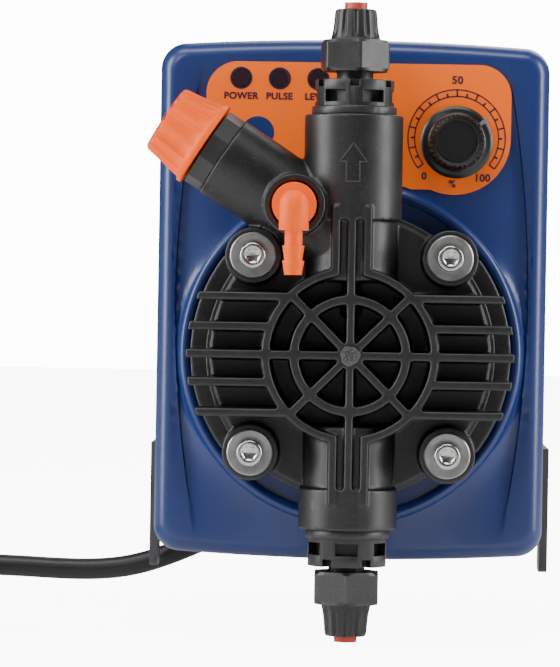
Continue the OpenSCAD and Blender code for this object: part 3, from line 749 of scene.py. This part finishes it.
def make_print():
    """Dial scale, and a ring round each light."""
    ink = Print()
    line_w = 0.34
    ink.arc(SCALE_AT, SCALE_OUTER, SCALE_OUTER - line_w, -SCALE_SPAN, SCALE_SPAN)
    ink.arc(SCALE_AT, SCALE_INNER + line_w, SCALE_INNER, -SCALE_SPAN, SCALE_SPAN)
    steps = 10
    for k in range(steps + 1):
        angle = -SCALE_SPAN + 2 * SCALE_SPAN * k / steps
        ink.tick(SCALE_AT, SCALE_OUTER - 0.1, SCALE_INNER + 0.1, angle, 0.4)
        if k < steps:
            ink.tick(SCALE_AT, SCALE_INNER + 1.15, SCALE_INNER + 0.1, angle + SCALE_SPAN / steps, 0.5)
    low, high = box_mm("led_lenses")
    led_r = (high.z - low.z) / 2
    led_z = (high.z + low.z) / 2 - HUB_Z
    for k in range(3):
        x = low.x + led_r + (high.x - low.x - 2 * led_r) * k / 2
        ink.arc((x, led_z), 2.95, led_r + 0.3, 0, 360, 48)
    print_piece = make_piece("label_print", ink.verts, ink.faces, "print_navy", smooth=False)


def make_disc():
    """Plain blue disc, where the label carries a round mark."""
    verts, faces = lathe([(0, 0), (4.37, 0), (4.37, 0.05), (0, 0.05)], 64)
    disc = make_piece("label_disc", placed(verts, facing_front(-25.7, LABEL_Y, 58.4 + HUB_Z)), faces,
                      "housing_blue", smooth=False)


def make_word(text, x, z, height, name, bold=0.09):
    """Word in the built-in letter shapes, centred at a place from the head's centre."""
    data = bpy.data.curves.new(name, "FONT")
    data.body = text
    data.size = height / 0.7 * MM
    data.align_x = "CENTER"
    data.align_y = "CENTER"
    data.extrude = PRINT_LIFT / 2 * MM
    data.offset = bold * MM
    data.space_character = 1.08
    data.materials.append(MATERIALS["print_navy"])
    holder = bpy.data.objects.new(name, data)
    bpy.context.scene.collection.objects.link(holder)
    mesh = bpy.data.meshes.new_from_object(holder.evaluated_get(bpy.context.evaluated_depsgraph_get()))
    bpy.data.objects.remove(holder)
    mesh.transform(facing_front(x * MM, (LABEL_Y - PRINT_LIFT / 2) * MM, (z + HUB_Z) * MM))
    word = bpy.data.objects.new(name, mesh)
    bpy.context.scene.collection.objects.link(word)
    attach(word, "root")


make_print()
make_disc()
for word, x, z, height, name in (("50", 0, 15.4, 2.0, "number_50"), ("0", -8.5, -10.2, 1.9, "number_0"),
                                 ("100", 7.0, -10.5, 1.9, "number_100"), ("%", -1.0, -12.2, 1.9, "percent")):
    make_word(word, SCALE_AT[0] + x, SCALE_AT[1] + z, height, name)
for word, x in (("POWER", -30.3), ("PULSE", -20.1), ("LEVEL", -9.9)):
    make_word(word, x, 68.1, 1.75, "word_" + word.lower())

# ---- dial knob ------------------------------------------------------------------------------


def make_knob():
    """Skirted knob: knurled grip and a raised flat cap with a fine rim."""
    height = knob_high.y - knob_low.y
    skirt = (knob_high.x - knob_low.x) / 2
    profile = [(0, 0), (skirt - 0.3, 0), (skirt, 0.3), (skirt, 0.9), (skirt - 0.35, 1.3), (skirt - 1.2, 1.6),
               (7.7, 1.75), (7.4, 2.0), (7.25, 3), (7.0, height - 1.9), (6.6, height - 1.35),
               (6.0, height - 1.15),
               (5.75, height - 1.1), (5.7, height - 0.25), (5.5, height), (5.1, height), (5.0, height - 0.25),
               (0, height - 0.3)]

    def knurl(r, h, a):
        grip = 1 if 2.5 < h < height - 1.2 and r > 6.3 else 0
        return r + grip * 0.36 * (abs(math.cos(a * 16)) ** 0.7 - 0.5)

    dense = []
    for (r0, h0), (r1, h1) in zip(profile, profile[1:]):
        parts = 3 if h1 - h0 > 2 else 1
        dense += [(r0 + (r1 - r0) * k / parts, h0 + (h1 - h0) * k / parts) for k in range(parts)]
    dense.append(profile[-1])
    verts, faces = lathe(dense, 256, knurl)
    knob = make_piece("knob", placed(verts, facing_front(DIAL.x, knob_high.y, DIAL.z)), faces,
                      "knob_black", "dial")
    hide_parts("dial_knob")


make_knob()

# ---- carried-over CAD nodes -----------------------------------------------------------------

BEVELS = {
    "rear_shell": 0.5, "wall_bracket": 0.5, "control_label": 0.2, "discharge_valve_body": 0.2,
    "suction_valve_body": 0.2, "bleed_collar": 0.3, "drain_elbow": 0.15, "discharge_plug": 0.25,
    "suction_plug": 0.25, "led_lenses": 0.4, "level_socket": 0.25, "cable_gland": 0.3,
    "housing_screws": 0.2, "bracket_screws": 0.15,
    "coil_tie": 0.2, "dial_pointer": 0.1, "plug_pins": 0.1, "housing_gasket": 0.1,
}


def soften(node, width):
    """Rounds a CAD node's sharp edges without touching its mesh."""
    weld = node.modifiers.new("weld", "WELD")
    weld.merge_threshold = 0.00001
    bevel = node.modifiers.new("bevel", "BEVEL")
    bevel.width = width * MM
    bevel.segments = 2
    bevel.limit_method = "ANGLE"
    bevel.angle_limit = math.radians(35)
    bevel.harden_normals = True


def dress_nodes():
    """Materials for the CAD nodes, and a soft edge on those seen from near."""
    slots = {s["node"]: s["material_slot"] for s in frame["record"]["subparts"]}
    for name, node in NODES.items():
        node.data.materials.clear()
        node.data.materials.append(MATERIALS[slots[name]])
        node.data.polygons.foreach_set("material_index", [0] * len(node.data.polygons))
        if name in BEVELS:
            soften(node, BEVELS[name])


dress_nodes()


def make_head():
    """Pump head with the small fillets of a moulding, worked out from the CAD node's own surface."""
    mesh = NODES["pump_head"].data.copy()
    mesh.name = "head_moulding"
    head = bpy.data.objects.new("head_moulding", mesh)
    bpy.context.scene.collection.objects.link(head)
    skin = head.modifiers.new("skin", "REMESH")
    skin.mode = "VOXEL"
    skin.voxel_size = 0.38 * MM
    round_off = head.modifiers.new("round_off", "SMOOTH")
    round_off.factor = 0.5
    round_off.iterations = 4
    bpy.context.view_layer.update()
    rounded = bpy.data.meshes.new_from_object(head.evaluated_get(bpy.context.evaluated_depsgraph_get()))
    head.modifiers.clear()
    head.data = rounded
    rounded.materials.clear()
    rounded.materials.append(MATERIALS["moulded_black"])
    rounded.shade_smooth()
    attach(head, "root")
    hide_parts("pump_head")
    return head


make_head()


VALVE_Y = joint_place("bleed_knob_turn").y


def make_arrow():
    """Flow arrow moulded as a thin raised line on the discharge boss."""
    boss_r = 12.8
    half_head, half_stem = 3.45, 1.7
    tip, shoulder, foot = 54.8, 50.0, 44.9
    outline_points = [(0, tip), (half_head, shoulder), (half_stem, shoulder), (half_stem, foot),
                      (-half_stem, foot), (-half_stem, shoulder), (-half_head, shoulder)]
    line = []
    for (x0, z0), (x1, z1) in zip(outline_points, outline_points[1:] + outline_points[:1]):
        line += [(x0 + (x1 - x0) * k / 6, z0 + (z1 - z0) * k / 6) for k in range(6)]
    sides, bead = 8, 0.22
    verts, faces = [], []
    for k, (x, z) in enumerate(line):
        ahead, behind = line[(k + 1) % len(line)], line[k - 1]
        along = Vector((ahead[0] - behind[0], 0, ahead[1] - behind[1])).normalized()
        across = along.cross(Vector((0, 1, 0)))
        centre = Vector((x, VALVE_Y - math.sqrt(boss_r ** 2 - x * x), z + HUB_Z))
        for i in range(sides):
            a = 2 * math.pi * i / sides
            verts.append(centre + across * bead * math.cos(a) + Vector((0, bead * math.sin(a), 0)))
            faces.append((k * sides + i, k * sides + (i + 1) % sides,
                          (k + 1) % len(line) * sides + (i + 1) % sides, (k + 1) % len(line) * sides + i))
    arrow = make_piece("flow_arrow", verts, faces, "moulded_black")


make_arrow()


def hexagon(across_corners, angle, first=0.0):
    """Radius of a hexagon's edge at an angle; first is the angle of one corner."""
    sector = math.radians(60)
    part = (angle - first) % sector - sector / 2
    return across_corners * math.cos(sector / 2) / math.cos(part)


def make_nut(node, body, upwards, first_corner):
    """Hose nut: chamfered hexagon below a fluted cone, open through its middle."""
    low, high = box_mm(node)
    total = high.z - low.z
    hex_h = total * 0.505
    corner = max(math.hypot(v.co.x / MM, v.co.y / MM - VALVE_Y) for v in NODES[node].data.vertices)
    flute_depth = 0.5
    profile = [(4.9, hex_h - 1), (4.9, 0), (corner - 1.1, 0), (corner - 0.05, 0.75), (corner, 1.0),
               (corner, hex_h - 1.0), (corner - 0.05, hex_h - 0.75), (corner - 1.1, hex_h),
               (6.7, hex_h + 0.05),
               (6.45, hex_h + 0.4), (6.35, hex_h + 1.0), (6.2, hex_h + 1.6), (5.9, hex_h + total * 0.2),
               (5.55, total - 1.0), (5.45, total - 0.6), (5.3, total - 0.15), (5.05, total), (3.3, total),
               (3.12, total - 0.2), (3.12, hex_h - 1)]

    def cut(r, h, a):
        if h <= hex_h and r > 6:
            return min(r, hexagon(corner, a, first_corner))
        if h > hex_h + 0.8 and r > 5.35:
            return r - flute_depth * smooth((h - hex_h - 0.8) / 1.2) * max(0, math.cos(12 * a)) ** 1.5
        return r

    verts, faces = lathe(profile, 180, cut, hollow=True)
    base = low.z if upwards else high.z
    turn = Matrix.Translation((0, VALVE_Y, base)) @ Matrix.Rotation(0 if upwards else math.pi, 4, "X")
    nut = make_piece(node + "_skin", placed(verts, turn), faces, "moulded_black", body)
    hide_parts(node)


def make_bleed_knob():
    """Orange knob with a thin lip and sixteen broad flutes, on the arm's axis."""
    joint = next(j for j in frame["joints"] if j["name"] == "bleed_knob_turn")
    origin = Vector(joint["pos_m"]) / MM
    axis = Vector(joint["axis"]).normalized()
    along = [(v.co / MM - origin).dot(axis) for v in NODES["bleed_knob"].data.vertices]
    length = max(along) - min(along)
    profile = [(0, 9), (3.12, 9), (3.12, 0), (11.35, 0), (11.65, 0.2), (11.7, 0.45), (11.7, 1.15),
               (11.6, 1.4), (11.2, 1.55), (11.1, 1.8), (10.95, 2.6), (10.6, 4.6), (10.2, 7.0), (9.8, 9.4),
               (9.55, length - 1.3),
               (9.4, length - 0.8), (9.1, length - 0.3), (8.6, length), (0, length)]

    def flute(r, h, a):
        if h > 1.6 and r > 8.7:
            return r - 0.85 * smooth((h - 1.6) / 0.7) * abs(math.cos(8 * a)) ** 0.65
        return r

    verts, faces = lathe(profile, 256, flute)
    turn = Matrix.Translation(origin + axis * min(along)) @ axis.to_track_quat("Z", "Y").to_matrix().to_4x4()
    knob = make_piece("bleed_knob_skin", placed(verts, turn), faces, "part_orange", "bleed_knob")
    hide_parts("bleed_knob")


def make_head_screws():
    """Socket screws on plain washers at the head's four corners."""
    low, high = box_mm("head_screws")
    screw_r = 3.4
    front = washer_low.y
    height = front - low.y
    screw = [(0, front - high.y), (2, front - high.y + 0.3), (2, -1), (screw_r, -0.05),
             (screw_r, height - 0.55),
             (screw_r - 0.15, height - 0.2), (screw_r - 0.45, height), (2.1, height), (1.9, height - 0.12),
             (1.85, height - 0.4), (1.85, height - 2.0), (0, height - 2.5)]
    washer = [(2.3, -1), (5.85, -1), (6, -0.85), (6, -0.3), (5.7, 0), (2.6, 0), (2.3, -0.1)]
    socket_r = 1.78

    def socket(r, h, a):
        return min(r, hexagon(socket_r, a)) if r < 1.88 and h > 0 else r

    heads = ([], [])
    rings = ([], [])
    for sx in (-1, 1):
        for sz in (-1, 1):
            x = sx * ((high.x - low.x) / 2 - screw_r)
            z = HUB_Z + sz * ((high.z - low.z) / 2 - screw_r)
            turn = facing_front(x, front, z) @ Matrix.Rotation(0.5 + sx + 0.6 * sz, 4, "Z")
            for store, skin in ((heads, lathe(screw, 72, socket)), (rings, lathe(washer, 96, hollow=True))):
                start = len(store[0])
                store[0].extend(placed(skin[0], turn))
                store[1].extend(tuple(start + i for i in f) for f in skin[1])
    for name, store, material, node in (("screw_set", heads, "stainless", "head_screws"),
                                        ("washer_set", rings, "washer_steel", "head_washers")):
        piece = make_piece(name, *store, material)
        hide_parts(node)


def make_spring():
    """Wound return spring, filling its CAD node's box along Y."""
    low, high = box_mm("return_spring")
    middle = (low + high) / 2
    wire, turns, steps = 0.8, 4.25, 40
    radius = (high.x - low.x) / 2 - wire
    count = round(turns * steps)
    rings = []
    for k in range(count + 1):
        a = 2 * math.pi * k / steps
        y = low.y + wire + (high.y - low.y - 2 * wire) * k / count
        ring = []
        for n in range(12):
            b = 2 * math.pi * n / 12
            r = radius + wire * math.cos(b)
            ring.append((middle.x + r * math.cos(a), y + wire * math.sin(b), middle.z + r * math.sin(a)))
        rings.append(ring)
    verts, faces = loft(rings)
    spring = make_piece("return_spring_coil", verts, faces, "stainless")
    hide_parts("return_spring")
    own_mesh(spring)


def make_gate_mark():
    """Rough pale mark at the hub, where the head was moulded from."""
    verts, faces = lathe([(0, 0), (2.5, 0), (2.4, 0.16), (1.9, 0.26), (1.0, 0.24), (0, 0.2)], 48,
                         lambda r, h, a: r * (1 + 0.06 * math.sin(3 * a + 1) + 0.04 * math.sin(7 * a)))
    mark = make_piece("gate_mark", placed(verts, facing_front(0, HEAD_Y + 0.1, HUB_Z)), faces, "gate_grey")


make_nut("discharge_nut", "discharge_nut", True, math.radians(39))
make_nut("suction_nut", "suction_nut", False, math.radians(30))
make_bleed_knob()
make_head_screws()
make_gate_mark()
make_spring()
